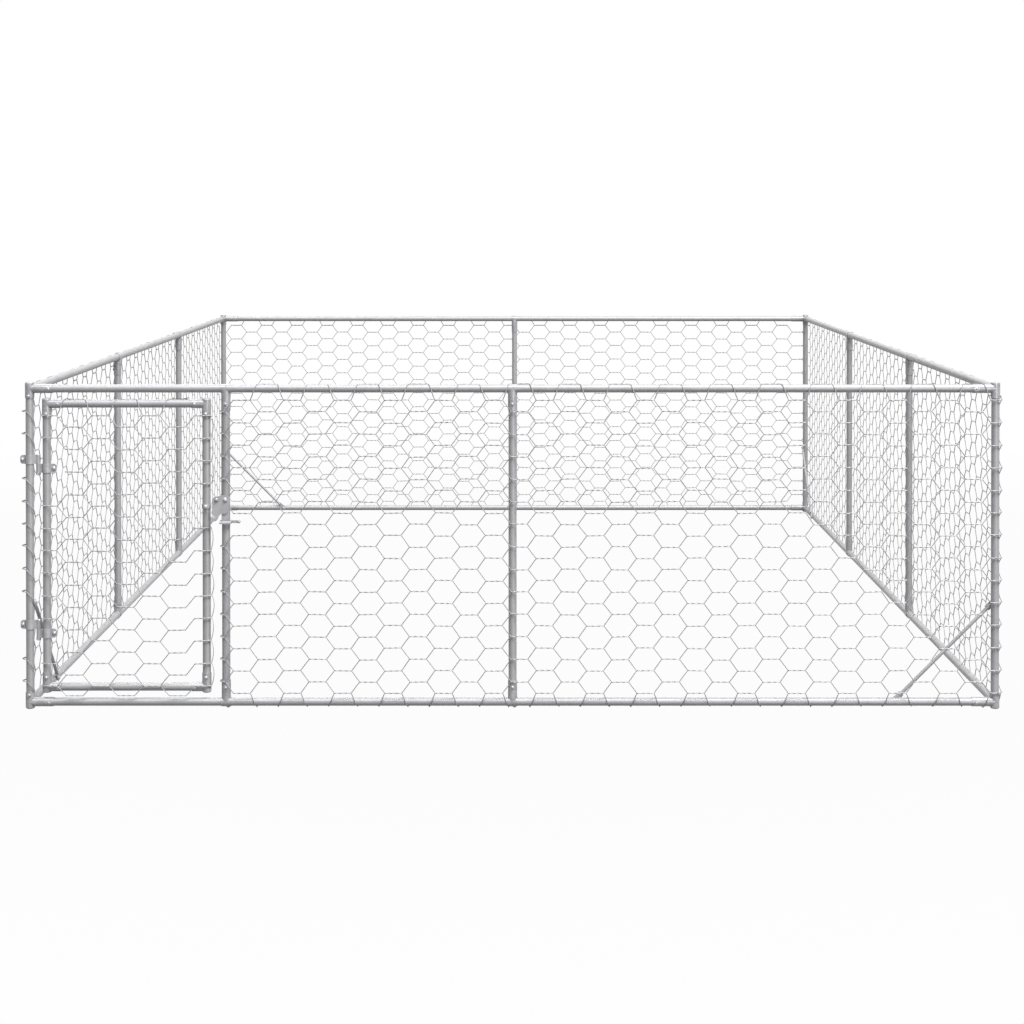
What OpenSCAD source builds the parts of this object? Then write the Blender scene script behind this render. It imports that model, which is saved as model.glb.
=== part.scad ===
// Outdoor dog kennel run: a free-standing pen of round galvanised tube, walled with
// hexagonal wire netting, with a hinged door and a turning fork latch.
// +X right and +Y back as seen from the door side, +Z up, origin on the ground
// at the middle of the plan.

/* [Run] */
// Width of the frame over its corner posts
run_w = 3000; // [2400:10:3600]
// Depth of the frame over its corner posts
run_d = 4000; // [3000:10:5000]
// Height over the corner fittings
run_h = 1008; // [940:2:1200]

/* [Tube] */
// Outside diameter of posts, rails and door tubes
tube_d = 25; // [24:0.5:26]
// Wall of the tube
tube_wall = 1.2; // [0.8:0.1:1.6]
// Length of the drawn-down end that enters the next rail length
swage_len = 40; // [25:1:60]

/* [Fittings] */
// Wall of the sockets
fit_wall = 1.55; // [1.2:0.05:1.6]
// Slide gap between a tube and its socket
fit_gap = 0.2; // [0.1:0.05:0.3]
// Reach of a corner arm from the post axis
corner_arm = 72; // [50:1:90]
// Height of a corner's upright socket
corner_leg = 50; // [40:1:70]
// How far a corner's closed end stands out past the rails
corner_cap = 8; // [6:0.5:12]
// Length of a tee's saddle along the rail
tee_run = 30; // [26:1:40]
// Reach of a tee's socket from the rail axis
tee_leg = 67; // [45:1:80]
// Thickness of a closed socket end
cap_floor = 3; // [2:0.5:4]

/* [Door] */
// Distance from the left corner post to the door post, axis to axis
door_bay = 604.5; // [560:0.5:700]
// Distance from the left corner post to the hinge stile, axis to axis
hinge_gap = 52.5; // [51:0.5:58]
// Distance from the latch stile to the door post, axis to axis
latch_gap = 60; // [56:0.5:66]
// Height of the door's bottom rail axis
door_low = 67; // [60:1:90]
// Distance from the run's top rail axis down to the door's top rail axis
door_drop = 46.5; // [40:0.5:70]
// Reach of the door's elbow arms from the stile axis
elbow_arm = 46; // [35:1:60]
// Height of a door elbow's upright socket
elbow_leg = 60; // [45:1:70]
// How far an elbow's closed end stands out past its rail axis
elbow_cap = 17; // [16:0.5:20]

/* [Hinges] */
// Height of the upper hinge, where its two straps meet
hinge_high = 755.5; // [600:0.5:800]
// Height of the lower hinge, where its two straps meet
hinge_low = 246; // [180:1:300]
// Height of one strap
strap_h = 27; // [20:1:32]
// Thickness of strap and band metal
strap_t = 1.9; // [1.4:0.1:2]
// Diameter of the hinge pins
pin_d = 8; // [6:0.5:9]
// Metal round a hinge pin
knuckle_wall = 2.5; // [2:0.1:3]
// Running clearance of each pin and pivot, on the radius
run_gap = 0.05; // [0.03:0.01:0.08]
// Diameter of the domed heads of the strap bolts
dome_d = 13; // [11:0.5:16]
// Height of the domed heads of the strap bolts
dome_h = 4.4; // [3.5:0.1:5.5]
// Shank diameter of the strap bolts
bolt_d = 6; // [5:0.1:6.5]

/* [Latch] */
// Height of the latch pivot
latch_z = 647; // [500:1:700]
// Drop from the pivot to the keeper stud
keeper_drop = 22; // [16:0.5:28]
// Angle that the fork turns from hanging free to holding the stud
latch_swing = 39; // [36:0.5:42]
// Thickness of the bracket and fork plates
plate_t = 3; // [2:0.1:3.2]
// Diameter of the pivot rivet and of the keeper stud
stud_d = 8; // [6:0.1:8.4]
// Drop from the pivot to the middle of the clamp
clamp_drop = 70.5; // [68:0.5:86]
// Height of the clamp
clamp_h = 8; // [7:0.5:10]
// Half width of the clamp and its ledge
clamp_half = 18.5; // [17.5:0.1:20]
// Height of the keeper band
keeper_h = 13; // [10:0.5:16]
// Reach of the clamp's ears from the post axis
ear_reach = 44; // [36:1:50]

/* [Braces] */
// Height of a brace's upper screw above the bottom rail's axis
brace_rise = 308; // [200:1:340]
// Diameter of the brace tube
brace_d = 11; // [8:0.5:14]
// Width of the flattened brace ends
tab_w = 18; // [14:0.5:20]
// Length of the flattened brace ends
tab_l = 32; // [28:1:40]
// Thickness of the flattened brace ends
tab_t = 3; // [2:0.1:4]
// Diameter of the brace screws' domed heads
brace_dome_d = 14; // [11:0.5:16]
// Shank diameter of the brace screws
brace_screw_d = 5; // [4:0.1:6]
// Length of the brace screws under the head
screw_len = 16; // [10:1:20]

/* [Netting] */
// Twist-to-twist height of one hexagon
net_row = 139; // [110:1:200]
// Column pitch of the hexagons
net_col = 155; // [120:1:220]
// Share of a column that its twisted side takes
twist_share = 0.69; // [0.55:0.01:0.75]
// Width of a netting strand
strand_w = 2.8; // [2:0.1:4]
// Thickness of a netting strand
strand_t = 1.5; // [1:0.1:2]
// Clearance of the netting from the fittings it lies on
net_gap = 0.6; // [0.4:0.1:0.8]

/* [Hidden] */
$fn = 48;
EPS = 0.05;
SPLIT = 0.3;
ZINC = "#a9adae";
CAST = "#b4b7b8";
WIRE = "#8f9394";
BRIGHT = "#c9ccce";

tube_r = tube_d / 2;
tube_in = tube_d - 2 * tube_wall;
bore_d = tube_d + 2 * fit_gap;
fit_d = bore_d + 2 * fit_wall;
fit_r = fit_d / 2;
seat = fit_r + 1;
spigot_d = tube_in - 0.2;
spigot_in = spigot_d - 2 * tube_wall;
band_d = tube_d + 0.2;
band_r = band_d / 2 + strap_t;

half_w = run_w / 2 - tube_r;
half_d = run_d / 2 - tube_r;
rail_low = corner_cap + tube_r;
rail_high = run_h - rail_low;
side_bay = 2 * half_d / 3;

door_post_u = door_bay;
latch_u = door_bay - latch_gap;
door_high = rail_high - door_drop;
pin_u = hinge_gap / 2;
knuckle_r = pin_d / 2 + knuckle_wall;
hinge_zs = [hinge_high, hinge_low];
strap_slot = 2;
strap_half = strap_slot / 2 + strap_t;
strap_bolt = band_r + 0.7 + dome_d / 2;
strap_ear = strap_bolt + 0.7 + dome_d / 2;

net_in = max(fit_r, band_r) + net_gap;
net_out = net_in + strand_t;
net_lap = tube_r + 1;

bracket_y = net_out + 0.8;
fork_y = bracket_y + plate_t + SPLIT;
head_y = fork_y + plate_t + SPLIT;
dome_low_h = 4.5;
rivet_head_d = 15;
slot_r = norm([latch_gap, keeper_drop]);
slot_angle = atan2(latch_gap, keeper_drop) - latch_swing;
slot_w = stud_d + 1;
finger_r = slot_w / 2 + 6.5;
thumb_x = -26.5;
thumb_z = 0;

brace_z = rail_low + brace_rise;
tab_in = tube_r + EPS;
nut_h = 6.5;
ear_t = 2;
ear_slot = 3;
clamp_bolt_d = clamp_h / 2;
clamp_front = head_y + 0.5;
ledge_cut = clamp_h / 3;

// Places its children on wall k: 0 front, 1 right, 2 back, 3 left. Local x runs along the
// wall from its first corner post, local -y points out of the run.
function wall_len(k) = k % 2 == 0 ? 2 * half_w : 2 * half_d;
module wall(k) {
    at = [[-half_w, -half_d], [half_w, -half_d], [half_w, half_d], [-half_w, half_d]][k];
    translate([at[0], at[1], 0]) rotate([0, 0, 90 * k]) children();
}
function wall_posts(k) =
    k == 0 ? [door_post_u, half_w] :
    k == 2 ? [half_w] :
    [side_bay, 2 * side_bay];

// A domed screw whose head stands on z = 0 and whose shank points down.
module dome(d, h) {
    r = (d * d / 4 + h * h) / (2 * h);
    intersection() {
        cylinder(h = h, d = d);
        translate([0, 0, h - r]) rotate([90, 0, 0]) sphere(r);
    }
}
module dome_screw(head_d, shank_d) {
    dome(head_d, head_d * dome_h / dome_d);
    translate([0, 0, -screw_len]) cylinder(h = screw_len + 1, d = shank_d);
}
module hex_nut(across, h, bore) {
    difference() {
        cylinder(h = h, d = across / cos(30), $fn = 6);
        translate([0, 0, -1]) cylinder(h = h + 2, d = bore);
    }
}

// Tubes

module tube(len) {
    difference() {
        cylinder(h = len, d = tube_d);
        translate([0, 0, -1]) cylinder(h = len + 2, d = tube_in);
    }
}
module swaged_tube(len) {
    difference() {
        union() {
            cylinder(h = len, d = tube_d);
            cylinder(h = len + swage_len, d = spigot_d);
        }
        translate([0, 0, -1]) cylinder(h = len - 4 + 1, d = tube_in);
        translate([0, 0, -1]) cylinder(h = len + swage_len + 2, d = spigot_in);
    }
}
// A hole for a screw of this shank, from just above z = 0 down to depth.
module screw_hole(shank_d, depth) {
    translate([0, 0, -depth]) cylinder(h = depth + 4, d = shank_d + 0.1);
}

module corner_post(k) {
    color(ZINC) wall(k) difference() {
        translate([0, 0, cap_floor]) tube(run_h - 2 * cap_floor);
        // the brace of the wall before this one ends on this post
        translate([tube_r, 0, brace_z]) rotate([0, 90, 0]) screw_hole(brace_screw_d, tube_r);
    }
}
module middle_post(k, u) {
    color(ZINC) wall(k) translate([u, 0, rail_low + seat]) tube(rail_high - rail_low - 2 * seat);
}

// One run of rail: lengths that meet inside the tees, each drawn down into the next.
module rail(k, z, joints, braced) {
    ends = concat([seat], joints, [wall_len(k) - seat]);
    last = len(ends) - 2;
    color(ZINC) wall(k) translate([0, 0, z]) difference() {
        union()
            for (i = [0:last])
                translate([ends[i], 0, 0]) rotate([0, 90, 0])
                    if (i < last) swaged_tube(ends[i + 1] - ends[i] - SPLIT);
                    else tube(ends[i + 1] - ends[i]);
        if (braced)
            translate([wall_len(k) - brace_rise, tube_r, 0]) rotate([-90, 0, 0])
                screw_hole(brace_screw_d, tube_r);
    }
}
function rail_joints(k) = k % 2 == 0 ? [half_w] : [side_bay, 2 * side_bay];
module top_rail(k) { rail(k, rail_high, rail_joints(k), false); }
module bottom_rail(k) { rail(k, rail_low, rail_joints(k), true); }

// Fittings

// A socket closed and rounded at its lower end.
module closed_socket(h) {
    round_r = 5;
    rotate_extrude() {
        square([fit_r - round_r, h]);
        translate([0, round_r]) square([fit_r, h - round_r]);
        intersection() {
            translate([fit_r - round_r, round_r]) circle(round_r);
            square([fit_r, h]);
        }
    }
}
// An upright socket with one or two arms, closed end down, arms along +x and +y.
module fitting(cap, leg, arm, arms) {
    difference() {
        union() {
            closed_socket(leg);
            for (a = arms)
                translate([0, 0, cap]) rotate([0, 0, a]) rotate([0, 90, 0])
                    cylinder(h = arm, d = fit_d);
        }
        translate([0, 0, cap_floor]) cylinder(h = leg, d = bore_d);
        for (a = arms)
            translate([0, 0, cap]) rotate([0, 0, a])
                translate([seat, 0, 0]) rotate([0, 90, 0]) cylinder(h = arm, d = bore_d);
    }
}
module corner_bottom(k) {
    color(CAST) wall(k) fitting(rail_low, corner_leg, corner_arm, [0, 90]);
}
module corner_top(k) {
    color(CAST) wall(k) translate([0, 0, run_h]) mirror([0, 0, 1])
        fitting(rail_low, corner_leg, corner_arm, [0, 90]);
}
module tee() {
    difference() {
        union() {
            rotate([0, 90, 0]) cylinder(h = tee_run, d = fit_d, center = true);
            cylinder(h = tee_leg, d = fit_d);
        }
        rotate([0, 90, 0]) cylinder(h = tee_run + 2, d = bore_d, center = true);
        translate([0, 0, seat]) cylinder(h = tee_leg, d = bore_d);
    }
}
module tees(k) {
    color(CAST) wall(k)
        for (u = wall_posts(k)) {
            translate([u, 0, rail_low]) tee();
            translate([u, 0, rail_high]) mirror([0, 0, 1]) tee();
        }
}

// Netting

// A hexagon of the netting with its strands' half widths taken off, centred on the origin.
module net_hole(col, row) {
    twist = col * twist_share;
    dx = col - twist;
    slope = norm([dx, row / 2]);
    half = strand_w / 2;
    side_x = col - twist / 2 - half * slope / (row / 2);
    top_x = twist / 2 + half * (dx - slope) / (row / 2);
    top_z = row / 2 - half;
    polygon([
        [side_x, 0], [top_x, top_z], [-top_x, top_z],
        [-side_x, 0], [-top_x, -top_z], [top_x, -top_z]
    ]);
}
// A flat net of len by h in the x-z plane, its outer face on y = -net_out.
module net_panel(len, h) {
    cols = max(2, round(len / net_col));
    rows = max(2, round(h / net_row));
    col = len / cols;
    row = h / rows;
    translate([0, -net_in, 0]) rotate([90, 0, 0]) linear_extrude(strand_t) difference() {
        square([len, h]);
        intersection() {
            translate([strand_w, strand_w]) square([len - 2 * strand_w, h - 2 * strand_w]);
            for (i = [0:cols - 1])
                for (j = [0:rows - 1 + i % 2])
                    translate([(i + 0.5) * col, (j + 0.5 - (i % 2) / 2) * row])
                        net_hole(col, row);
        }
    }
}
module net(k, from_u, to_u) {
    color(WIRE) wall(k) translate([from_u, 0, rail_low - 6])
        net_panel(to_u - from_u, rail_high - rail_low + 12);
}

// Braces

// A knee brace at the far end of a wall, on the inner sides of the corner post and the bottom rail:
// a tube whose ends are pressed flat.
module brace(k) {
    long = brace_rise * sqrt(2);
    color(ZINC) wall(k) translate([wall_len(k), tab_in + tab_t / 2, brace_z]) rotate([0, -135, 0]) difference() {
        union() {
            for (z = [0, long])
                translate([0, 0, z]) rotate([90, 0, 0]) linear_extrude(tab_t, center = true) {
                    circle(d = tab_w + 0.6);
                    translate([-tab_w / 2, z > 0 ? -tab_l : 0]) square([tab_w, tab_l]);
                }
            translate([0, 0, tab_l - 6]) cylinder(h = long - 2 * tab_l + 12, d = brace_d);
        }
        for (z = [0, long])
            translate([0, tab_t / 2, z]) rotate([-90, 0, 0]) screw_hole(brace_screw_d, tab_t + 1);
    }
}
module brace_screws() {
    color(BRIGHT)
        for (k = [0:3])
            wall(k) {
                translate([wall_len(k), tab_in + tab_t, brace_z]) rotate([-90, 0, 0])
                    dome_screw(brace_dome_d, brace_screw_d);
                translate([wall_len(k) - brace_rise, tab_in + tab_t, rail_low]) rotate([-90, 0, 0])
                    dome_screw(brace_dome_d, brace_screw_d);
            }
}

// Hinges

// A strap round a tube at the origin with a knuckle at x = pin_u, standing on z = 0. Its two
// ends are drawn together as ears on the far side by a bolt.
module hinge_strap(pin_bore) {
    cut = 5;
    difference() {
        union() {
            linear_extrude(strap_h) {
                circle(band_r);
                translate([pin_u, 0]) circle(knuckle_r);
                translate([0, -knuckle_r * 0.75]) square([pin_u, knuckle_r * 1.5]);
            }
            rotate([90, 0, 0]) linear_extrude(2 * strap_half, center = true)
                polygon([
                    [-tube_r, 0], [cut - strap_ear, 0], [-strap_ear, cut],
                    [-strap_ear, strap_h - cut], [cut - strap_ear, strap_h], [-tube_r, strap_h]
                ]);
        }
        translate([0, 0, -1]) linear_extrude(strap_h + 2) {
            circle(d = band_d);
            translate([pin_u, 0]) circle(d = pin_bore);
            translate([-strap_ear - 1, -strap_slot / 2]) square([strap_ear, strap_slot]);
        }
        translate([-strap_bolt, 0, strap_h / 2]) rotate([90, 0, 0])
            cylinder(h = 4 * strap_half, d = bolt_d + 0.1, center = true);
    }
}
// A bolt along y through ears of this half thickness: domed head in front, nut behind.
module ear_bolt(half, head_d, head_h, shank_d) {
    translate([0, -half, 0]) rotate([90, 0, 0]) dome(head_d, head_h);
    translate([0, half + 6.2, 0]) rotate([90, 0, 0]) cylinder(h = 2 * half + 6.7, d = shank_d);
    translate([0, half + 0.05, 0]) rotate([-90, 0, 0]) hex_nut(1.7 * shank_d, 5, shank_d + 0.1);
}
module hinge_post_strap(z) {
    color(CAST) wall(0) translate([0, 0, z + SPLIT / 2]) hinge_strap(pin_d);
}
module hinge_door_strap(z) {
    color(CAST) wall(0) translate([hinge_gap, 0, z - SPLIT / 2 - strap_h])
        mirror([1, 0, 0]) hinge_strap(pin_d + 2 * run_gap);
}
module hinge_post_bolts() {
    color(BRIGHT) wall(0)
        for (z = hinge_zs)
            translate([-strap_bolt, 0, z + SPLIT / 2 + strap_h / 2])
                ear_bolt(strap_half, dome_d, dome_h, bolt_d);
}
module hinge_door_bolts() {
    color(BRIGHT) wall(0)
        for (z = hinge_zs)
            translate([hinge_gap + strap_bolt, 0, z - SPLIT / 2 - strap_h / 2])
                ear_bolt(strap_half, dome_d, dome_h, bolt_d);
}
module hinge_pins() {
    color(BRIGHT) wall(0)
        for (z = hinge_zs)
            translate([pin_u, 0, z]) {
                translate([0, 0, -strap_h - nut_h - 2 * SPLIT - 1.5])
                    cylinder(h = 2 * strap_h + nut_h + 3 * SPLIT + 1.5, d = pin_d - 0.02);
                translate([0, 0, strap_h + SPLIT]) dome(pin_d * 1.7, 4);
            }
}
module hinge_pin_nuts() {
    color(BRIGHT) wall(0)
        for (z = hinge_zs)
            translate([pin_u, 0, z - strap_h - nut_h - 2 * SPLIT]) hex_nut(13, nut_h, pin_d + 0.04);
}

// Latch

// A band round a tube at the origin, centred on z = 0.
module band(h) {
    difference() {
        cylinder(h = h, r = band_r, center = true);
        cylinder(h = h + 2, d = band_d, center = true);
    }
}
// The clamp's front ledge, on which the upright plate stands, with its upper front edge bevelled.
module clamp_ledge() {
    rotate([90, 0, 90]) linear_extrude(2 * clamp_half - 0.6, center = true)
        polygon([
            [0, -clamp_h / 2 + 0.2], [-clamp_front, -clamp_h / 2 + 0.2],
            [-clamp_front, clamp_h / 2 - ledge_cut], [-clamp_front + ledge_cut, clamp_h / 2 - 0.2],
            [0, clamp_h / 2 - 0.2]
        ]);
}
module latch_bracket() {
    color(CAST) wall(0) translate([door_post_u, 0, latch_z]) difference() {
        union() {
            translate([0, 0, -clamp_drop]) {
                cylinder(h = clamp_h, r = clamp_half, center = true);
                clamp_ledge();
                for (s = [-1, 1])
                    translate([0, s * (ear_slot + ear_t) / 2, 0]) rotate([90, 0, 0])
                        linear_extrude(ear_t, center = true) {
                            translate([tube_r + 2, -clamp_h / 2 + 0.2])
                                square([ear_reach - clamp_h / 2 - tube_r - 2, clamp_h - 0.4]);
                            translate([ear_reach - clamp_h / 2, 0]) circle(d = clamp_h + 0.8);
                        }
            }
            translate([0, -bracket_y, 0]) rotate([90, 0, 0]) linear_extrude(plate_t) {
                circle(11);
                translate([-11, -clamp_drop]) square([22, clamp_drop]);
            }
        }
        translate([0, 0, -clamp_drop]) {
            cylinder(h = clamp_h + 2, d = band_d, center = true);
            translate([0, -ear_slot / 2, -clamp_h]) cube([ear_reach + 2, ear_slot, 2 * clamp_h]);
        }
        translate([0, 0, 0]) rotate([90, 0, 0]) cylinder(h = 40, d = stud_d);
        translate([ear_reach - clamp_h / 2, 20, -clamp_drop]) rotate([90, 0, 0])
            cylinder(h = 40, d = clamp_bolt_d + 0.2);
    }
}
module latch_clamp_bolt() {
    color(BRIGHT) wall(0)
        translate([door_post_u + ear_reach - clamp_h / 2, 0, latch_z - clamp_drop])
            ear_bolt(ear_slot / 2 + ear_t, 2 * clamp_bolt_d + 1, 3.2, clamp_bolt_d);
}
module latch_rivet() {
    color(BRIGHT) wall(0) translate([door_post_u, 0, latch_z]) rotate([90, 0, 0]) {
        translate([0, 0, bracket_y - 2]) cylinder(h = 2 - 0.05, d = stud_d + 4);
        translate([0, 0, bracket_y - 1]) cylinder(h = head_y - bracket_y + 2, d = stud_d - 0.02);
        translate([0, 0, head_y]) dome(rivet_head_d, dome_low_h);
    }
}
// Two discs joined by straight sides that run just inside their outer tangents.
module link(a, ra, b, rb) {
    way = atan2(b[1] - a[1], b[0] - a[0]);
    lean = acos((ra - rb) / norm(b - a));
    left = 0.985 * [cos(way + lean), sin(way + lean)];
    right = 0.985 * [cos(way - lean), sin(way - lean)];
    translate(a) circle(ra);
    translate(b) circle(rb);
    polygon([a + ra * left, b + rb * left, b + rb * right, a + ra * right]);
}
module latch_fork() {
    pivot = [0, 0];
    thumb = [thumb_x, thumb_z - 2];
    heel = [-4, -28];
    belly = [-24, -23];
    hook = slot_r * [-sin(slot_angle), -cos(slot_angle)];
    color(CAST) wall(0) translate([door_post_u, 0, latch_z]) rotate([90, 0, 0]) {
        translate([0, 0, fork_y]) difference() {
            linear_extrude(plate_t) difference() {
                union() {
                    link(pivot, 15, thumb, 12.5);
                    link(pivot, 15.2, heel, 14.5);
                    link(thumb, 12.3, belly, 15.7);
                    link(belly, 16, heel, 14.2);
                    link(belly, 15, hook, finger_r);
                    polygon([pivot, thumb, belly, heel]);
                }
                // the slot, an arc about the pivot
                translate(hook) circle(d = slot_w + 0.4);
                intersection() {
                    difference() {
                        circle(slot_r + slot_w / 2, $fn = 120);
                        circle(slot_r - slot_w / 2, $fn = 120);
                    }
                    polygon([
                        [0, 0], 1.4 * hook,
                        1.6 * slot_r * [-sin(slot_angle + 28), -cos(slot_angle + 28)]
                    ]);
                }
            }
            translate([0, 0, -1]) cylinder(h = plate_t + 2, d = stud_d - 0.02 + 2 * run_gap);
        }
        translate([thumb_x, thumb_z, fork_y + plate_t - 0.5]) cylinder(h = 2, d = 9);
        translate([thumb_x, thumb_z, fork_y + plate_t + 1]) dome(13, 4.2);
    }
}
module latch_keeper() {
    color(BRIGHT) wall(0) translate([latch_u, 0, latch_z - keeper_drop]) {
        band(keeper_h);
        rotate([90, 0, 0]) {
            translate([0, 0, band_d / 2 + 0.4]) cylinder(h = head_y + 1 - band_d / 2, d = stud_d);
            translate([0, 0, head_y + 0.3]) dome(rivet_head_d, dome_low_h);
        }
    }
}

// Door

module door_stile(u) {
    low = door_low - elbow_cap + cap_floor;
    high = door_high + elbow_cap - cap_floor;
    color(ZINC) wall(0) translate([u, 0, low]) tube(high - low);
}
module door_rail(z) {
    color(ZINC) wall(0) translate([hinge_gap + seat, 0, z]) rotate([0, 90, 0])
        tube(latch_u - hinge_gap - 2 * seat);
}
module door_elbows() {
    color(CAST) wall(0)
        for (side = [0, 1])
            translate([side == 0 ? hinge_gap : latch_u, 0, 0]) mirror([side, 0, 0]) {
                translate([0, 0, door_low - elbow_cap]) fitting(elbow_cap, elbow_leg, elbow_arm, [0]);
                translate([0, 0, door_high + elbow_cap]) mirror([0, 0, 1])
                    fitting(elbow_cap, elbow_leg, elbow_arm, [0]);
            }
}
module net_door() {
    color(WIRE) wall(0) translate([hinge_gap, 0, door_low - 8])
        net_panel(latch_u - hinge_gap - stud_d, door_high - door_low + 16);
}

corner_post(0);  // post_front_left
corner_post(1);  // post_front_right
corner_post(2);  // post_back_right
corner_post(3);  // post_back_left
middle_post(0, half_w);  // post_front_middle
middle_post(0, door_post_u);  // post_door
middle_post(2, half_w);  // post_back_middle
middle_post(1, side_bay);  // post_right_front
middle_post(1, 2 * side_bay);  // post_right_rear
middle_post(3, side_bay);  // post_left_rear
middle_post(3, 2 * side_bay);  // post_left_front
top_rail(0);  // rail_front_top
bottom_rail(0);  // rail_front_bottom
top_rail(1);  // rail_right_top
bottom_rail(1);  // rail_right_bottom
top_rail(2);  // rail_back_top
bottom_rail(2);  // rail_back_bottom
top_rail(3);  // rail_left_top
bottom_rail(3);  // rail_left_bottom
corner_top(0);  // corner_front_left_top
corner_bottom(0);  // corner_front_left_bottom
corner_top(1);  // corner_front_right_top
corner_bottom(1);  // corner_front_right_bottom
corner_top(2);  // corner_back_right_top
corner_bottom(2);  // corner_back_right_bottom
corner_top(3);  // corner_back_left_top
corner_bottom(3);  // corner_back_left_bottom
tees(0);  // tees_front
tees(1);  // tees_right
tees(2);  // tees_back
tees(3);  // tees_left
net(0, door_post_u + clamp_half + 1, wall_len(0) + net_lap);  // net_front
net(1, -net_lap, wall_len(1) + net_lap);  // net_right
net(2, -net_lap, wall_len(2) + net_lap);  // net_back
net(3, -net_lap, wall_len(3) - strap_half - 8);  // net_left
brace(0);  // brace_front
brace(1);  // brace_right
brace(2);  // brace_back
brace(3);  // brace_left
brace_screws();
hinge_post_strap(hinge_high);  // hinge_post_strap_upper
hinge_post_strap(hinge_low);  // hinge_post_strap_lower
hinge_post_bolts();
hinge_pins();
hinge_pin_nuts();
latch_bracket();
latch_clamp_bolt();
latch_rivet();
door_stile(hinge_gap);  // door_hinge_stile
door_stile(latch_u);  // door_latch_stile
door_rail(door_high);  // door_top_rail
door_rail(door_low);  // door_bottom_rail
door_elbows();
net_door();
hinge_door_strap(hinge_high);  // hinge_door_strap_upper
hinge_door_strap(hinge_low);  // hinge_door_strap_lower
hinge_door_bolts();
latch_keeper();
latch_fork();
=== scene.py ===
"""Outdoor dog kennel run: netting, socket screws, finishes, floor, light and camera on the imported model."""
import math

import bpy
import numpy as np
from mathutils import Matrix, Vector


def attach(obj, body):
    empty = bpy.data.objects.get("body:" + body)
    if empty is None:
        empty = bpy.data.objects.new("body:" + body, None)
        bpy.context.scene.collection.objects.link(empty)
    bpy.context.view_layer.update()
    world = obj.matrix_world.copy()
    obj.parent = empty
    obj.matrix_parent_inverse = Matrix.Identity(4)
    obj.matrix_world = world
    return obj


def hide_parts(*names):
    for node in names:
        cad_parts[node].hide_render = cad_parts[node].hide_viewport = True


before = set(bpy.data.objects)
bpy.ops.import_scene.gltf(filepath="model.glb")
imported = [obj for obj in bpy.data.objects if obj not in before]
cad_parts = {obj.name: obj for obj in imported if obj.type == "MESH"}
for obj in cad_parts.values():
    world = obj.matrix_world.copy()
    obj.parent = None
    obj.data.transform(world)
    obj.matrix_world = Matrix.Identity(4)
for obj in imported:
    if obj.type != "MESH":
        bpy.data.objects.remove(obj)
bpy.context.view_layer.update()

# Run and door as the part has them, in metres. Places are those of the tubes' axes.
RUN_W = 3.0
RUN_D = 4.0
RUN_H = 1.0
TUBE_R = 0.0125
HALF_W = RUN_W / 2 - TUBE_R
HALF_D = RUN_D / 2 - TUBE_R
RAIL_LOW = 0.0205
RAIL_HIGH = RUN_H - TUBE_R
SIDE_POSTS = (HALF_D * 2 / 3, HALF_D * 4 / 3)
DOOR_POST_X = -0.883
HINGE_STILE_X = -1.435
LATCH_STILE_X = -0.943
DOOR_W = LATCH_STILE_X - HINGE_STILE_X
DOOR_LOW = 0.067
DOOR_HIGH = 0.941
# Middles of the hinges, and how far above and below them the straps on the post and on the stile sit.
HINGE_Z = (0.7555, 0.246)
STRAP_RISE = 0.0135
# Heights of the latch on the door post and of the keeper on the latch stile.
LATCH_Z = 0.5765
KEEPER_Z = 0.625
# Outer radius of the fittings.
FIT_R = 0.01425

# Netting, in metres. Its hexagons lie on their side, so the twists run along the wall. The wire is thick
# enough to show as the photo's strands do.
COLUMN = 0.0776
DOOR_COLUMN = 0.0792
ROW = 0.0694
TWIST = 0.054
TWIST_TURNS = 1.5
WIRE = 0.0027
# The two strands of a twist coil at this share of the wire's radius, so they press into each other.
COIL = 0.65
# A loose strand at the edge is pulled out towards a point this far off the wall, and hangs half as far.
EDGE_SLACK = 0.016
# From a tube's axis to the middle of the netting that lies round its fittings, and a quarter turn of that.
NET_R = 0.0162
QUARTER = NET_R * math.pi / 2


def tint(code):
    """Linear RGBA of an sRGB hex colour."""
    parts = [int(code[i:i + 2], 16) / 255 for i in (1, 3, 5)]
    return [c / 12.92 if c <= 0.04045 else ((c + 0.055) / 1.055) ** 2.4 for c in parts] + [1.0]


def per(mm):
    """Texture scale at which one cell of a pattern is so many millimetres."""
    return 1000 / mm


def add(tree, kind, links=(), **settings):
    """One node with its settings. links pairs an input with what feeds it: a socket, a node's first output or
    a plain value."""
    node = tree.nodes.new(kind)
    for name, value in settings.items():
        setattr(node, name, value)
    for name, source in dict(links).items():
        if isinstance(source, bpy.types.Node):
            source = source.outputs[0]
        if isinstance(source, bpy.types.NodeSocket):
            tree.links.new(source, node.inputs[name])
        else:
            node.inputs[name].default_value = source
    return node


def new_material(name):
    """A material with an empty tree."""
    material = bpy.data.materials.new(name)
    material.use_nodes = True
    material.node_tree.nodes.clear()
    return material, material.node_tree


# Finishes

# A weathering blotch comes in between two levels of its noise and takes up to this share of the colour.
BLOTCH_FROM = 0.48
BLOTCH_FULL = 0.72
BLOTCH_SHARE = 0.55
# Facet times blotch at which the coat is at its roughest.
DULLEST = 0.6
# Height of the grain, in metres.
GRAIN_HEIGHT = 0.0006


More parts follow.
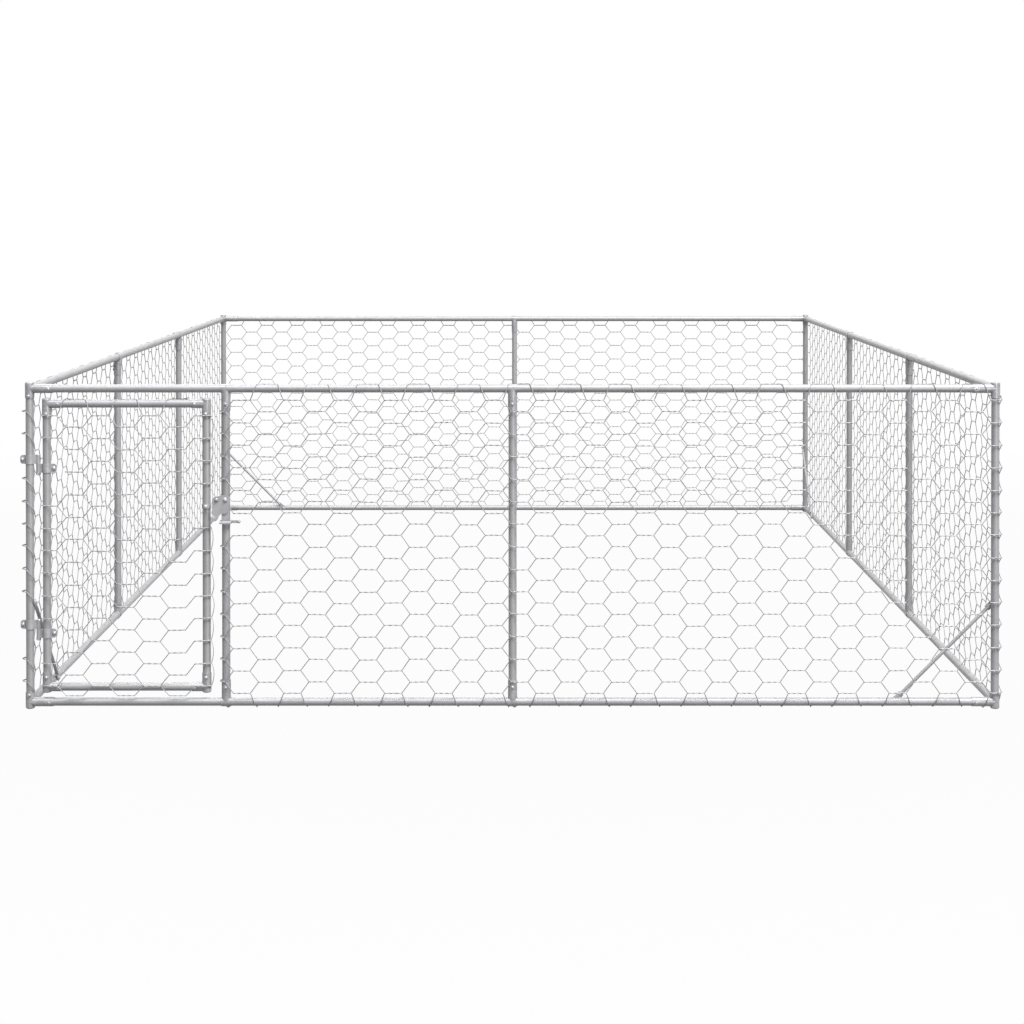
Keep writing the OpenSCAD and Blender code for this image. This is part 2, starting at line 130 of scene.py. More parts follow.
def zinc_coat(name, dark, light, stain, spangle, blotch, grain, rough, metallic, bump):
    """Zinc-coated steel: crystal spangle, broad weathering blotches and a grain, all in millimetres. A real
    coat's grain is too fine to show, so it is drawn coarser."""
    material, tree = new_material(name)
    where = add(tree, "ShaderNodeTexCoord").outputs["Object"]
    crystal = add(tree, "ShaderNodeTexVoronoi", {"Vector": where, "Scale": per(spangle)})
    facet = add(tree, "ShaderNodeSeparateColor", {"Color": crystal.outputs["Color"]})
    cloud = add(tree, "ShaderNodeTexNoise",
                {"Vector": where, "Scale": per(blotch), "Detail": 4.0, "Roughness": 0.55})
    fine = add(tree, "ShaderNodeTexNoise", {"Vector": where, "Scale": per(grain), "Detail": 3.0})
    zinc = add(tree, "ShaderNodeMix", {0: facet.outputs["Red"], 6: tint(dark), 7: tint(light)},
               data_type="RGBA")
    patch = add(tree, "ShaderNodeMapRange",
                {"Value": cloud.outputs["Fac"], "From Min": BLOTCH_FROM, "From Max": BLOTCH_FULL,
                 "To Min": 0.0, "To Max": BLOTCH_SHARE})
    worn = add(tree, "ShaderNodeMix", {0: patch.outputs["Result"], 6: zinc.outputs[2], 7: tint(stain)},
               data_type="RGBA")
    dull = add(tree, "ShaderNodeMath", {0: facet.outputs["Green"], 1: cloud.outputs["Fac"]},
               operation="MULTIPLY")
    sheen = add(tree, "ShaderNodeMapRange",
                {"Value": dull, "From Min": 0.0, "From Max": DULLEST, "To Min": rough[0], "To Max": rough[1]})
    relief = add(tree, "ShaderNodeBump",
                 {"Height": fine.outputs["Fac"], "Strength": bump, "Distance": GRAIN_HEIGHT})
    metal = add(tree, "ShaderNodeBsdfPrincipled",
                {"Base Color": worn.outputs[2], "Roughness": sheen.outputs["Result"], "Metallic": metallic,
                 "Normal": relief.outputs["Normal"]})
    add(tree, "ShaderNodeOutputMaterial", {"Surface": metal.outputs["BSDF"]})
    return material


# Hot-dip galvanised tube: mid grey zinc, satin, with crystal facets that barely show.
TUBE = zinc_coat("galvanised_steel_tube", dark="#9f9fa1", light="#a4a4a6", stain="#939395",
                 spangle=9, blotch=90, grain=2.5, rough=(0.40, 0.44), metallic=0.15, bump=0.004)
# Galvanised malleable fittings: the same zinc over a cast skin, more mottled than the tube, with more glint.
FITTING = zinc_coat("galvanised_cast_fitting", dark="#959598", light="#adadaf", stain="#828285",
                    spangle=5, blotch=40, grain=1.2, rough=(0.28, 0.42), metallic=0.15, bump=0.1)
# Pressed strip steel with a dull electroplate: even grey, satin.
PRESSED = zinc_coat("zinc_plated_pressed_steel", dark="#a1a1a4", light="#afafb2", stain="#919192",
                    spangle=14, blotch=30, grain=0.8, rough=(0.34, 0.46), metallic=0.15, bump=0.1)
# Bright zinc on screws, pins and rivets: the palest and shiniest metal on the run.
BRIGHT = zinc_coat("bright_zinc_fastener", dark="#a8a8ab", light="#bbbbbe", stain="#959598",
                   spangle=6, blotch=12, grain=0.6, rough=(0.24, 0.34), metallic=0.3, bump=0.04)
# Galvanised netting wire: dull drawn wire, a shade darker than the tube, so that it shows against white.
NETTING = zinc_coat("galvanised_netting_wire", dark="#939395", light="#9f9fa1", stain="#87878a",
                    spangle=3, blotch=60, grain=0.9, rough=(0.50, 0.58), metallic=0.12, bump=0.02)


def finish_of(node):
    """The finish of a CAD node, by its name."""
    if node.startswith(("corner_", "tees_", "door_elbows")):
        return FITTING
    if node.endswith(("screws", "pins", "nuts", "bolt", "bolts", "rivet")):
        return BRIGHT
    if node.startswith(("post_", "rail_", "door_", "brace")):
        return TUBE
    if node.startswith("net_"):
        return NETTING
    return PRESSED


for node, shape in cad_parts.items():
    if not shape.material_slots:
        shape.data.materials.append(None)
    for place in shape.material_slots:
        place.material = finish_of(node)


# Geometry Nodes

# Edges sharper than this stay sharp.
SHARP = math.radians(50)
# A strand's corners, and its points along a twist, along a branch between twists and along a loose edge.
WIRE_CORNERS = 4
TWIST_POINTS = 11
BRANCH_POINTS = 5
EDGE_POINTS = 7
# The point that a loose edge is pulled towards lies at this share of its fall.
EDGE_BELLY = 0.4


def new_tree(name, **sizes):
    """A geometry tree with its inputs: one named float per size, and the finish."""
    tree = bpy.data.node_groups.new(name, "GeometryNodeTree")
    tree.interface.new_socket("Geometry", in_out="INPUT", socket_type="NodeSocketGeometry")
    for size, value in sizes.items():
        tree.interface.new_socket(size, in_out="INPUT", socket_type="NodeSocketFloat").default_value = value
    tree.interface.new_socket("finish", in_out="INPUT", socket_type="NodeSocketMaterial")
    tree.interface.new_socket("Geometry", in_out="OUTPUT", socket_type="NodeSocketGeometry")
    return tree, add(tree, "NodeGroupInput").outputs


def close_tree(tree, given, shapes):
    """Joins the instances, makes them real and gives them the finish."""
    joined = add(tree, "GeometryNodeJoinGeometry")
    for shape in shapes:
        tree.links.new(shape.outputs[0], joined.inputs[0])
    real = add(tree, "GeometryNodeRealizeInstances", {"Geometry": joined})
    painted = add(tree, "GeometryNodeSetMaterial", {"Geometry": real, "Material": given["finish"]})
    add(tree, "NodeGroupOutput", {0: painted})
    return tree


def netting_tree():
    """Netting laid flat: x along the wall, y up it, z out of it. Each point is the middle of a twist, and its
    flags say which strands leave it to the upper and lower right."""
    tree, given = new_tree("hexagonal_netting", twist=TWIST, column=COLUMN, row=ROW, wire=WIRE,
                           turns=TWIST_TURNS, slack=EDGE_SLACK)
    radius = add(tree, "ShaderNodeMath", {0: given["wire"], 1: 0.5}, operation="MULTIPLY")
    half = add(tree, "ShaderNodeMath", {0: given["twist"], 1: 0.5}, operation="MULTIPLY")
    back = add(tree, "ShaderNodeMath", {0: half, 1: -1.0}, operation="MULTIPLY")
    far = add(tree, "ShaderNodeMath", {0: given["column"], 1: half}, operation="SUBTRACT")
    ring = add(tree, "GeometryNodeCurvePrimitiveCircle", {"Resolution": WIRE_CORNERS, "Radius": radius})
    left = add(tree, "ShaderNodeCombineXYZ", {0: back})
    right = add(tree, "ShaderNodeCombineXYZ", {0: half})
    axis = add(tree, "GeometryNodeCurvePrimitiveLine", {"Start": left, "End": right})
    steps = add(tree, "GeometryNodeResampleCurve", {"Curve": axis, "Count": TWIST_POINTS})
    share = add(tree, "GeometryNodeSplineParameter").outputs["Factor"]
    circle = add(tree, "ShaderNodeMath", {0: given["turns"], 1: 2 * math.pi}, operation="MULTIPLY")
    angle = add(tree, "ShaderNodeMath", {0: share, 1: circle}, operation="MULTIPLY")
    sine = add(tree, "ShaderNodeMath", {0: angle}, operation="SINE")
    cosine = add(tree, "ShaderNodeMath", {0: angle}, operation="COSINE")
    shapes = []
    for side, flag in ((1.0, "upper"), (-1.0, "lower")):
        arm = add(tree, "ShaderNodeMath", {0: radius, 1: side}, operation="MULTIPLY")
        tight = add(tree, "ShaderNodeMath", {0: arm, 1: COIL}, operation="MULTIPLY")
        up = add(tree, "ShaderNodeMath", {0: cosine, 1: tight}, operation="MULTIPLY")
        out = add(tree, "ShaderNodeMath", {0: sine, 1: tight}, operation="MULTIPLY")
        coil = add(tree, "ShaderNodeCombineXYZ", {1: up, 2: out})
        helix = add(tree, "GeometryNodeSetPosition", {"Geometry": steps, "Offset": coil})
        strand = add(tree, "GeometryNodeCurveToMesh",
                     {"Curve": helix, "Profile Curve": ring, "Fill Caps": True})
        shapes.append(add(tree, "GeometryNodeInstanceOnPoints",
                          {"Points": given["Geometry"], "Instance": strand}))
        lift = add(tree, "ShaderNodeMath", {0: given["row"], 1: side / 2}, operation="MULTIPLY")
        meet = add(tree, "ShaderNodeMath", {0: lift, 1: arm}, operation="SUBTRACT")
        start = add(tree, "ShaderNodeCombineXYZ", {0: half, 1: arm})
        end = add(tree, "ShaderNodeCombineXYZ", {0: far, 1: meet})
        slope = add(tree, "GeometryNodeCurvePrimitiveLine", {"Start": start, "End": end})
        parts = add(tree, "GeometryNodeResampleCurve", {"Curve": slope, "Count": BRANCH_POINTS})
        branch = add(tree, "GeometryNodeCurveToMesh",
                     {"Curve": parts, "Profile Curve": ring, "Fill Caps": True})
        has = add(tree, "GeometryNodeInputNamedAttribute", {"Name": flag}, data_type="BOOLEAN")
        shapes.append(add(tree, "GeometryNodeInstanceOnPoints",
                          {"Points": given["Geometry"], "Selection": has, "Instance": branch}))
    # where the netting ends, one loose strand runs from a twist down to the next
    fall = add(tree, "ShaderNodeMath", {0: given["row"], 1: -1.0}, operation="MULTIPLY")
    belly = add(tree, "ShaderNodeMath", {0: fall, 1: EDGE_BELLY}, operation="MULTIPLY")
    middle = add(tree, "ShaderNodeCombineXYZ", {0: half, 1: belly, 2: given["slack"]})
    end = add(tree, "ShaderNodeCombineXYZ", {0: half, 1: fall})
    edge = add(tree, "GeometryNodeCurveQuadraticBezier",
               {"Resolution": EDGE_POINTS, "Start": right, "Middle": middle, "End": end})
    loose = add(tree, "GeometryNodeCurveToMesh", {"Curve": edge, "Profile Curve": ring, "Fill Caps": True})
    has = add(tree, "GeometryNodeInputNamedAttribute", {"Name": "edge"}, data_type="BOOLEAN")
    shapes.append(add(tree, "GeometryNodeInstanceOnPoints",
                      {"Points": given["Geometry"], "Selection": has, "Instance": loose}))
    return close_tree(tree, given, shapes)


def screw_tree():
    """Domed screws on washers, one on each point, standing along the point's own axis."""
    tree, given = new_tree("domed_socket_screws", head=0.010, rise=0.0042, washer=0.0125, thickness=0.0016)
    radius = add(tree, "ShaderNodeMath", {0: given["head"], 1: 0.5}, operation="MULTIPLY")
    ball = add(tree, "GeometryNodeMeshUVSphere", {"Segments": 14, "Rings": 8, "Radius": 1.0})
    size = add(tree, "ShaderNodeCombineXYZ", {0: radius, 1: radius, 2: given["rise"]})
    dome = add(tree, "GeometryNodeTransform", {"Geometry": ball.outputs["Mesh"], "Scale": size})
    rim = add(tree, "ShaderNodeMath", {0: given["washer"], 1: 0.5}, operation="MULTIPLY")
    disc = add(tree, "GeometryNodeMeshCylinder",
               {"Vertices": 16, "Side Segments": 1, "Fill Segments": 1, "Radius": rim,
                "Depth": given["thickness"]})
    both = add(tree, "GeometryNodeJoinGeometry", {0: dome})
    tree.links.new(disc.outputs["Mesh"], both.inputs[0])
    axis = add(tree, "GeometryNodeInputNamedAttribute", {"Name": "axis"}, data_type="FLOAT_VECTOR")
    turned = add(tree, "FunctionNodeAlignRotationToVector", {"Vector": axis}, axis="Z")
    screws = add(tree, "GeometryNodeInstanceOnPoints",
                 {"Points": given["Geometry"], "Instance": both, "Rotation": turned})
    return close_tree(tree, given, [screws])


def grow(tree, name, points, flags, vectors, **sizes):
    """The plain mesh that a tree makes on points with their named flags and vectors."""
    cloud = bpy.data.meshes.new(name)
    cloud.from_pydata(points, [], [])
    for label, values in flags.items():
        cloud.attributes.new(label, "BOOLEAN", "POINT").data.foreach_set("value", values)
    for label, values in vectors.items():
        cloud.attributes.new(label, "FLOAT_VECTOR", "POINT").data.foreach_set("vector", np.ravel(values))
    holder = bpy.data.objects.new(name, cloud)
    bpy.context.scene.collection.objects.link(holder)
    modifier = holder.modifiers.new("shape", "NODES")
    modifier.node_group = tree
    for socket in tree.interface.items_tree:
        if socket.in_out == "INPUT" and socket.name in sizes:
            modifier[socket.identifier] = sizes[socket.name]
    mesh = bpy.data.meshes.new_from_object(holder.evaluated_get(bpy.context.evaluated_depsgraph_get()))
    holder.modifiers.remove(modifier)
    bpy.data.objects.remove(holder)
    while mesh.materials[0] is None:
        mesh.materials.pop(index=0)
    mesh.polygons.foreach_set("use_smooth", np.ones(len(mesh.polygons), dtype=bool))
    mesh.set_sharp_from_angle(angle=SHARP)
    return mesh


def piece(name, mesh, body, slot, *nodes):
    """A finished mesh as a piece that rides on a body and stands for CAD nodes."""
    mesh.name = name
    thing = bpy.data.objects.new(name, mesh)
    bpy.context.scene.collection.objects.link(thing)
    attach(thing, body)
    if nodes:
        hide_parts(*nodes)


# Netting

# Hand-stretched netting: how far its columns lean and its rows swell, in metres, and how far from the rails
# that dies out.
LEAN = 0.0016
SWELL = 0.0014
CALM_REACH = 0.1
# How loosely the netting lies on what is under it.
PLAY = 0.0008
# A fitting holds the netting up on either side of its middle, and past that it sinks on to the thinner tube,
# fully once it is wrapped round the rail by so many radians.
GRIP_HALF = 0.060
GRIP_FADE = 0.020
SINK = 0.0021
SINK_WRAP = 0.7
# The netting is stretched towards a rail from this far inside the rail's axis.
KNEE_ABOVE_LOW = 0.026
KNEE_BELOW_HIGH = 0.030
# How near a twist may lie to a corner, to the strip's ends, to the axes of the high and low rails at those,
# to the latch and keeper, and to the hinge straps.
CLEAR_CORNER = 0.045
CLEAR_END = 0.04
CLEAR_HIGH = 0.010
CLEAR_LOW = 0.004
CLEAR_LATCH = 0.03
CLEAR_STRAP = 0.045


def ripple(across, beside, pace, wander, bend):
    """A slow wave over the netting. It has so many radians to a metre across, and its crests wander by so
    many radians in waves beside it."""
    return np.sin(pace * across + wander * np.sin(bend * beside))


def straight(start, end):
    """Length, direction and outward normal of a wall, seen from above, that has the outside on its right."""
    run = np.array(end) - np.array(start)
    length = np.linalg.norm(run)
    ahead = run / length
    return length, ahead, np.array([ahead[1], -ahead[0]])


def along(path, s):
    """Axis point and outward normal at s on a path of straights (start, end) joined by quarter turns round
    the post at each joint. Past its ends the path wraps the end posts."""
    axis = np.zeros((len(s), 2))
    out = np.zeros((len(s), 2))
    passed = 0.0
    for i, (start, end) in enumerate(path):
        length, ahead, outward = straight(start, end)
        here = (s >= passed) & (s <= passed + length)
        axis[here] = start + np.outer(s[here] - passed, ahead)
        out[here] = outward
        if i == 0:
            before = s < passed
            angle = (passed - s[before]) / NET_R
            axis[before] = start
            out[before] = np.outer(np.cos(angle), outward) - np.outer(np.sin(angle), ahead)
        passed += length
        bend = QUARTER if i < len(path) - 1 else math.inf
        turn = (s > passed) & (s < passed + bend)
        angle = (s[turn] - passed) / NET_R
        axis[turn] = end
        out[turn] = np.outer(np.cos(angle), outward) + np.outer(np.sin(angle), ahead)
        passed += bend
    return axis, out


def bend_net(mesh, path, rails, knees, lengths, grips, slack):
    """Bends flat netting round the posts of a path and over its rails. s runs along the wall, v up it and n
    out of it. Beyond each knee, a height and a stretch, the netting is pulled over a rail, where it lies on
    the tube between the fittings, the grips. lengths pairs places on the flat netting with places along the
    path, since the side walls hold it a little closed. slack(s, v) is how far it stands off."""
    spots = np.empty(len(mesh.vertices) * 3)
    mesh.vertices.foreach_get("co", spots)
    s, v, n = spots.reshape(-1, 3).T
    s = np.interp(s, *lengths)
    n = n + slack(s, v)
    (low, squeeze), (high, stretch) = knees
    calm = np.clip((v - low) / CALM_REACH, 0.0, 1.0) * np.clip((high - v) / CALM_REACH, 0.0, 1.0)
    lean = LEAN * calm * ripple(v, s, pace=21.0, wander=7.0, bend=2.3)
    swell = SWELL * calm * ripple(s, v, pace=17.0, wander=5.0, bend=6.1)
    s = s + lean
    v = v + swell
    v = v + (stretch - 1) * np.maximum(v - high, 0.0) + (squeeze - 1) * np.minimum(v - low, 0.0)
    axis, out = along(path, s)
    inside = np.clip(v, *rails)
    over = (v - inside) / NET_R
    from_grip = np.abs(s[:, None] - np.array(grips)).min(axis=1)
    free = np.clip((from_grip - GRIP_HALF) / GRIP_FADE, 0.0, 1.0)
    radius = NET_R - SINK * free * np.clip(np.abs(over) / SINK_WRAP, 0.0, 1.0) + n
    place = np.column_stack([axis + out * (radius * np.cos(over))[:, None], inside + radius * np.sin(over)])
    mesh.vertices.foreach_set("co", np.ravel(place))
    mesh.update()


def hexagons(columns, rows_even, rows_odd, spot):
    """Lattice of twists with the strands that each one has. spot(i, n) gives the place, along the wall and up
    it, of row n in column i, or None where there is no twist."""
    places = {}
    for i in columns:
        for n in (rows_odd if i % 2 else rows_even):
            place = spot(i, n)
            if place is not None:
                places[i, n] = place
    points, flags = [], {"upper": [], "lower": [], "edge": []}
    last = max(columns)
    for (i, n), (s, v) in places.items():
        up = n + i % 2
        points.append((s, v, 0.0))
        flags["upper"].append((i + 1, up) in places)
        flags["lower"].append((i + 1, up - 1) in places)
        flags["edge"].append(i == last and (i, n - 1) in places)
    return points, flags


NET_TREE = netting_tree()
NET_SIZES = {"twist": TWIST, "row": ROW, "wire": WIRE, "turns": TWIST_TURNS, "slack": EDGE_SLACK,
             "finish": NETTING}

# Netting of the fence, one strip from the door post round to the front left post

FENCE = [((DOOR_POST_X, -HALF_D), (HALF_W, -HALF_D)), ((HALF_W, -HALF_D), (HALF_W, HALF_D)),
         ((HALF_W, HALF_D), (-HALF_W, HALF_D)), ((-HALF_W, HALF_D), (-HALF_W, -HALF_D))]
# The strip's columns and rows, and where column 0 and row 0 lie: on the flat strip, and above the ground.
STRIP_COLUMNS = range(-12, 163)
STRIP_EVEN_ROWS = range(-7, 8)
STRIP_ODD_ROWS = range(-7, 7)
STRIP_S = 0.9038
STRIP_V = 0.5019
# The flat strip is this much longer than the side walls that hold it closed.
SIDE_CLOSED = 1.0137
# Stretch of the outer rows: at the front right over the rails, on the other walls just on to their outside.
FRONT_PULL = 2.25
WALL_PULL = 1.3
# At the strip's end on the left post, the last twists lie within this length.
LAST_TWISTS = 0.03
# Past a corner the strip bulges between its twists: how far out, how far past the corner, how widely, and the
# height that its waves start from. At its end it bulges at the twists.
CORNER_BULGE = 0.0065
CORNER_BULGE_PAST = 0.030
CORNER_BULGE_WIDE = 0.012
CORNER_BULGE_V = 0.4909
END_BULGE = 0.0075
END_BULGE_BEFORE = 0.004
END_BULGE_WIDE = 0.010

# Places along the fence where walls start and turn, and pairs of places along it and on the flat strip. The
# first and last pairs lie past its ends.
PAST_END = 1.0
STARTS, TURNS = [], []
TRUE, FLAT = [-PAST_END, 0.0], [-PAST_END, 0.0]
for k, (start, end) in enumerate(FENCE):
    length = math.dist(start, end)
    STARTS.append(TRUE[-1])
    TURNS.append(TRUE[-1] + length)
    TRUE += [TURNS[-1], TURNS[-1] + QUARTER]
    FLAT.append(FLAT[-1] + length * (SIDE_CLOSED if k % 2 else 1.0))
    FLAT.append(FLAT[-1] + QUARTER)
FLAT_STARTS, FLAT_END = FLAT[1:-1:2], FLAT[-2]
TRUE.append(TRUE[-1] + PAST_END)
FLAT.append(FLAT[-1] + PAST_END)
GRIPS = [0.0, -DOOR_POST_X, STARTS[2] + HALF_W] + [turn + QUARTER / 2 for turn in TURNS]
GRIPS += [STARTS[k] + u for k in (1, 3) for u in SIDE_POSTS]


def fence_spot(i, n):
    """No twist where a corner's closed end, the latch bracket or a hinge strap takes the place."""
    flat = STRIP_S + i * COLUMN
    v = STRIP_V + (n + i % 2 / 2) * ROW
    s = np.interp(flat, FLAT, TRUE)
    beyond = v > RAIL_HIGH - CLEAR_HIGH or v < RAIL_LOW + CLEAR_LOW
    at_corner = any(turn - CLEAR_CORNER < s < turn + QUARTER + CLEAR_CORNER for turn in TURNS)
    at_start = s < CLEAR_END
    at_end = s > TURNS[-1] - CLEAR_END
    if beyond and (at_start or at_corner):
        return None
    if at_start and abs(v - LATCH_Z) < CLEAR_LATCH:
        return None
    if at_end and any(abs(v - z - STRAP_RISE) < CLEAR_STRAP for z in HINGE_Z):
        return None
    return flat, v


def fence_slack(s, v):
    """The netting stands off a little past each corner between its twists and at its end on the left post."""
    at_twists = 1 - np.sin(math.pi * (v - STRIP_V) / ROW) ** 2
    between = np.sin(math.pi * (v - CORNER_BULGE_V) / ROW) ** 2
    off = sum(CORNER_BULGE * between * np.exp(-((s - turn - CORNER_BULGE_PAST) / CORNER_BULGE_WIDE) ** 2)
              for turn in TURNS[:-1])
    off = off + END_BULGE * at_twists * np.exp(-((s - TURNS[-1] + END_BULGE_BEFORE) / END_BULGE_WIDE) ** 2)
    return off + PLAY * (1 + ripple(s, v, pace=11.0, wander=3.0, bend=9.0))


points, flags = hexagons(STRIP_COLUMNS, STRIP_EVEN_ROWS, STRIP_ODD_ROWS, fence_spot)
# on the left post the strip ends in the lower strands of its last twists, laid round the tube
flags["lower"] = [low or p[0] > FLAT_END - LAST_TWISTS for low, p in zip(flags["lower"], points)]
flags["edge"] = [False] * len(points)
CUTS = [-math.inf] + [start - QUARTER / 2 for start in FLAT_STARTS[1:]] + [math.inf]
for k, wall in enumerate(("front", "right", "back", "left")):
    mine = [i for i, p in enumerate(points) if CUTS[k] <= p[0] < CUTS[k + 1]]
    wall_flags = {label: [values[i] for i in mine] for label, values in flags.items()}
    mesh = grow(NET_TREE, "netting_" + wall, [points[i] for i in mine], wall_flags, {}, column=COLUMN,
                **NET_SIZES)
    pull = FRONT_PULL if wall == "front" else WALL_PULL
    knees = (RAIL_LOW + KNEE_ABOVE_LOW, pull), (RAIL_HIGH - KNEE_BELOW_HIGH, pull)
    bend_net(mesh, FENCE, (RAIL_LOW, RAIL_HIGH), knees, (FLAT, TRUE), GRIPS, fence_slack)
    piece("netting_" + wall, mesh, "run", "netting_wire", "net_" + wall)

# Netting of the door

DOOR = [((HINGE_STILE_X, -HALF_D), (LATCH_STILE_X, -HALF_D))]
# The panel's columns and rows, how far its last column, 0, lies short of the latch stile's axis, and the
# height of row 0.
DOOR_COLUMNS = range(-6, 1)
DOOR_EVEN_ROWS = range(-9, 4)
DOOR_ODD_ROWS = range(-10, 4)
DOOR_INSET = 0.008
DOOR_LAST_S = DOOR_W - DOOR_INSET
DOOR_V = 0.6973
# The top rows are stretched over the top rail. From the hem down the netting hangs free and a little drawn
# up, with no rail that it reaches.
DOOR_TOP_PULL = 2.3
DOOR_HEM = 0.0727
DOOR_HEM_PULL = 0.85
NO_LOW_RAIL = -1.0


def door_spot(i, n):
    """No twist where the elbows, the keeper band or a hinge strap takes the place."""
    s = DOOR_LAST_S + i * DOOR_COLUMN
    v = DOOR_V + (n + i % 2 / 2) * ROW
    at_hinge = i == DOOR_COLUMNS[0]
    at_latch = i == DOOR_COLUMNS[-1]
    if (at_latch or at_hinge) and not DOOR_LOW + CLEAR_LOW < v < DOOR_HIGH - CLEAR_HIGH:
        return None
    if at_latch and abs(v - KEEPER_Z) < CLEAR_LATCH:
        return None
    if at_hinge and any(abs(v - z + STRAP_RISE) < CLEAR_STRAP for z in HINGE_Z):
        return None
    return s, v


def door_slack(s, v):
    """The door's netting lies evenly, with a little play."""
    return PLAY * (1 + ripple(s, v, pace=13.0, wander=3.0, bend=9.0))


points, flags = hexagons(DOOR_COLUMNS, DOOR_EVEN_ROWS, DOOR_ODD_ROWS, door_spot)
# the last strand of the door netting rises to the latch stile and comes round its far side
before_last = DOOR_LAST_S - 1.5 * DOOR_COLUMN
flags["lower"] = [low and p[0] < before_last for low, p in zip(flags["lower"], points)]
mesh = grow(NET_TREE, "netting_door", points, flags, {}, column=DOOR_COLUMN, **NET_SIZES)
knees = (DOOR_HEM, DOOR_HEM_PULL), (DOOR_HIGH - KNEE_BELOW_HIGH, DOOR_TOP_PULL)
as_flat = [-PAST_END, DOOR_W + PAST_END]
bend_net(mesh, DOOR, (NO_LOW_RAIL, DOOR_HIGH), knees, (as_flat, as_flat), [0.0, DOOR_W], door_slack)
piece("netting_door", mesh, "door", "netting_wire", "net_door")


# Screws of the sockets

# From the post's axis to the screw in a rail's socket, from the rail's axis to the one in a tee's or corner's
# socket for a post, and from the post's axis to the one under a tee.
SCREW_ON_RAIL = 0.060
SCREW_ON_TEE = 0.047
SCREW_ON_CORNER = 0.0225
SCREW_UNDER_TEE = 0.006
# From the axes of a door elbow to its screws, along the stile and along the rail.
ELBOW_SCREW_UP = 0.031
ELBOW_SCREW_IN = 0.036

WALLS = [((-HALF_W, -HALF_D), (HALF_W, -HALF_D))] + FENCE[1:]
POSTS = [(DOOR_POST_X + HALF_W, HALF_W), SIDE_POSTS, (HALF_W,), SIDE_POSTS]
spots, axes = [], []
for (start, end), posts in zip(WALLS, POSTS):
    length, ahead, outward = straight(start, end)
    fixed = [(u, z) for u in (SCREW_ON_RAIL, length - SCREW_ON_RAIL) for z in (RAIL_LOW, RAIL_HIGH)]
    fixed += [(u, z) for u in posts for z in (RAIL_LOW + SCREW_ON_TEE, RAIL_HIGH - SCREW_ON_TEE)]
    fixed += [(0.0, z) for z in (RAIL_LOW + SCREW_ON_CORNER, RAIL_HIGH - SCREW_ON_CORNER)]
    for u, z in fixed:
        spots.append((*(start + ahead * u + outward * FIT_R), z))
        axes.append((*outward, 0.0))
    for u in posts:
        spots.append((*(start + ahead * (u + SCREW_UNDER_TEE)), RAIL_LOW - FIT_R))
        axes.append((0.0, 0.0, -1.0))
SCREW_TREE = screw_tree()
mesh = grow(SCREW_TREE, "socket_screws_run", spots, {}, {"axis": axes}, finish=BRIGHT)
piece("socket_screws_run", mesh, "run", "bright_zinc")

fixed = [(x, z) for x in (HINGE_STILE_X, LATCH_STILE_X)
         for z in (DOOR_LOW + ELBOW_SCREW_UP, DOOR_HIGH - ELBOW_SCREW_UP)]
fixed += [(x, z) for x in (HINGE_STILE_X + ELBOW_SCREW_IN, LATCH_STILE_X - ELBOW_SCREW_IN)
          for z in (DOOR_LOW, DOOR_HIGH)]
spots = [(x, -HALF_D - FIT_R, z) for x, z in fixed]
axes = [(0.0, -1.0, 0.0)] * len(spots)
mesh = grow(SCREW_TREE, "socket_screws_door", spots, {}, {"axis": axes}, finish=BRIGHT)
piece("socket_screws_door", mesh, "door", "bright_zinc")


# Floor, light and camera

FLOOR_SIZE = 60
# The floor lies just under the feet.
FLOOR_DROP = 0.0004
# Distance from the run's middle at which the floor starts to lose its shadow, and at which it is plain white.
SHADOW_FULL = 2.5
SHADOW_GONE = 6.0
# Share of white in the floor where it shows the shadow in full.
SHADOW_WHITE = 0.97
# Strength of the backdrop's light on the object.
AMBIENT = 0.08
RUN_MIDDLE = (0.0, 0.0, RUN_H / 2)


def eye_or_mirror(tree):
    """1 for what the eye sees, straight on, mirrored or through glass, and 0 for light on the object."""
    path = add(tree, "ShaderNodeLightPath")
    mirrored = add(tree, "ShaderNodeMath",
                   {0: path.outputs["Is Glossy Ray"], 1: path.outputs["Is Transmission Ray"]},
                   operation="MAXIMUM")
    return add(tree, "ShaderNodeMath", {0: path.outputs["Is Camera Ray"], 1: mirrored}, operation="MAXIMUM")


def plain_floor():
    """Pale studio floor: white to the eye and in reflections, with a faint shadow left on it."""
    bpy.ops.mesh.primitive_plane_add(size=FLOOR_SIZE, location=(0, 0, -FLOOR_DROP))
    floor = bpy.context.object
    floor.name = "studio_floor"
    material, tree = new_material("pale_studio_floor")
    seen = eye_or_mirror(tree)
    paint = add(tree, "ShaderNodeBsdfDiffuse", {"Color": tint("#4a4a4a")})
    glow = add(tree, "ShaderNodeEmission", {"Color": tint("#ffffff"), "Strength": 1.0})
    where = add(tree, "ShaderNodeTexCoord").outputs["Object"]
    distance = add(tree, "ShaderNodeVectorMath", {0: where}, operation="LENGTH").outputs["Value"]
    white = add(tree, "ShaderNodeMapRange",
                {"Value": distance, "From Min": SHADOW_FULL, "From Max": SHADOW_GONE,
                 "To Min": SHADOW_WHITE, "To Max": 1.0})
    share = add(tree, "ShaderNodeMath", {0: seen, 1: white}, operation="MULTIPLY")
    mixed = add(tree, "ShaderNodeMixShader", {0: share, 1: paint, 2: glow})
    add(tree, "ShaderNodeOutputMaterial", {"Surface": mixed})
    floor.data.materials.append(material)


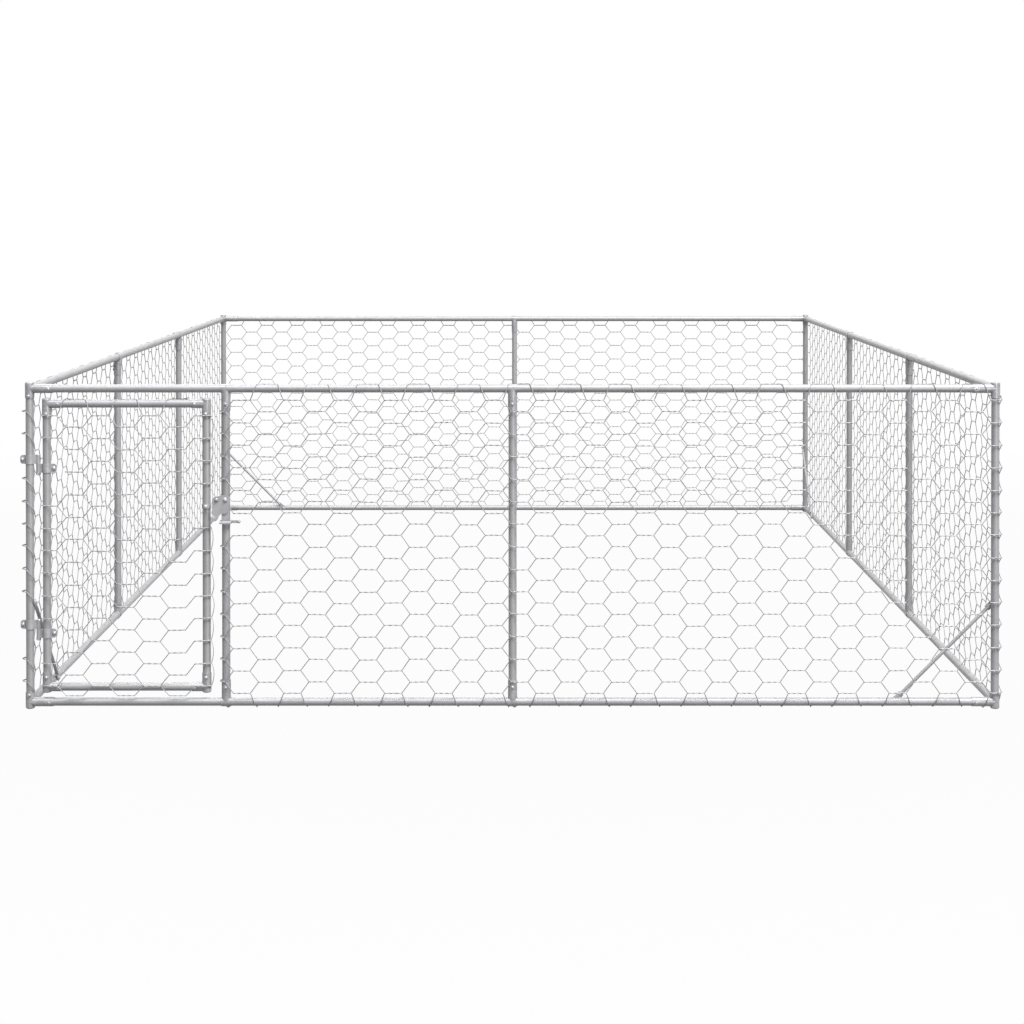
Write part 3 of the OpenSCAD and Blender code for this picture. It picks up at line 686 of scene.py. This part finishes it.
def studio_world():
    """White backdrop for the eye and for reflections, softer ambient light on the object."""
    world = bpy.data.worlds.new("white_studio")
    bpy.context.scene.world = world
    world.use_nodes = True
    tree = world.node_tree
    tree.nodes.clear()
    level = add(tree, "ShaderNodeMapRange", {"Value": eye_or_mirror(tree), "To Min": AMBIENT, "To Max": 1.0})
    sky = add(tree, "ShaderNodeBackground", {"Color": tint("#ffffff"), "Strength": level})
    add(tree, "ShaderNodeOutputWorld", {"Surface": sky})


def soft_lamp(name, place, aim, width, depth, power):
    """A rectangular softbox, in metres and watts, that the camera doesn't see."""
    lamp = bpy.data.lights.new(name, "AREA")
    lamp.shape = "RECTANGLE"
    lamp.size = width
    lamp.size_y = depth
    lamp.energy = power
    stand = bpy.data.objects.new(name, lamp)
    stand.location = place
    stand.rotation_euler = (Vector(aim) - Vector(place)).to_track_quat("-Z", "Y").to_euler()
    stand.visible_camera = False
    bpy.context.scene.collection.objects.link(stand)


plain_floor()
studio_world()
# High, far lamps give the rails their white tops and dark undersides, and the one at the back keeps the far
# sides from going dark. The low one gives the posts their band.
soft_lamp("key_softbox", (7.7, -6.4, 17.8), RUN_MIDDLE, width=6.0, depth=6.0, power=4700)
soft_lamp("front_softbox", (0.0, -11.4, 16.8), RUN_MIDDLE, width=12.0, depth=6.0, power=3100)
soft_lamp("back_softbox", (-6.0, 8.5, 15.5), RUN_MIDDLE, width=8.0, depth=8.0, power=1550)
soft_lamp("side_softbox", (3.4, -9.4, 1.2), (0.0, -1.8, 0.6), width=2.0, depth=2.4, power=165)

# The photo looks along the run from about 6 m in front of it and 1.5 m up, with the view slid down. The place
# is in metres and the turn downwards in degrees.
EYE_PLACE = (0.015, -8.0075, 1.528)
EYE_DOWN = 0.6
lens = bpy.data.cameras.new("front_view")
lens.sensor_width = 36
lens.lens = 68.77
lens.shift_x = -0.0053
lens.shift_y = -0.272
lens.clip_end = 200
eye = bpy.data.objects.new("front_view", lens)
eye.location = EYE_PLACE
eye.rotation_euler = (math.radians(90 - EYE_DOWN), 0, 0)
bpy.context.scene.collection.objects.link(eye)
bpy.context.scene.camera = eye
bpy.context.scene.view_settings.view_transform = "Standard"
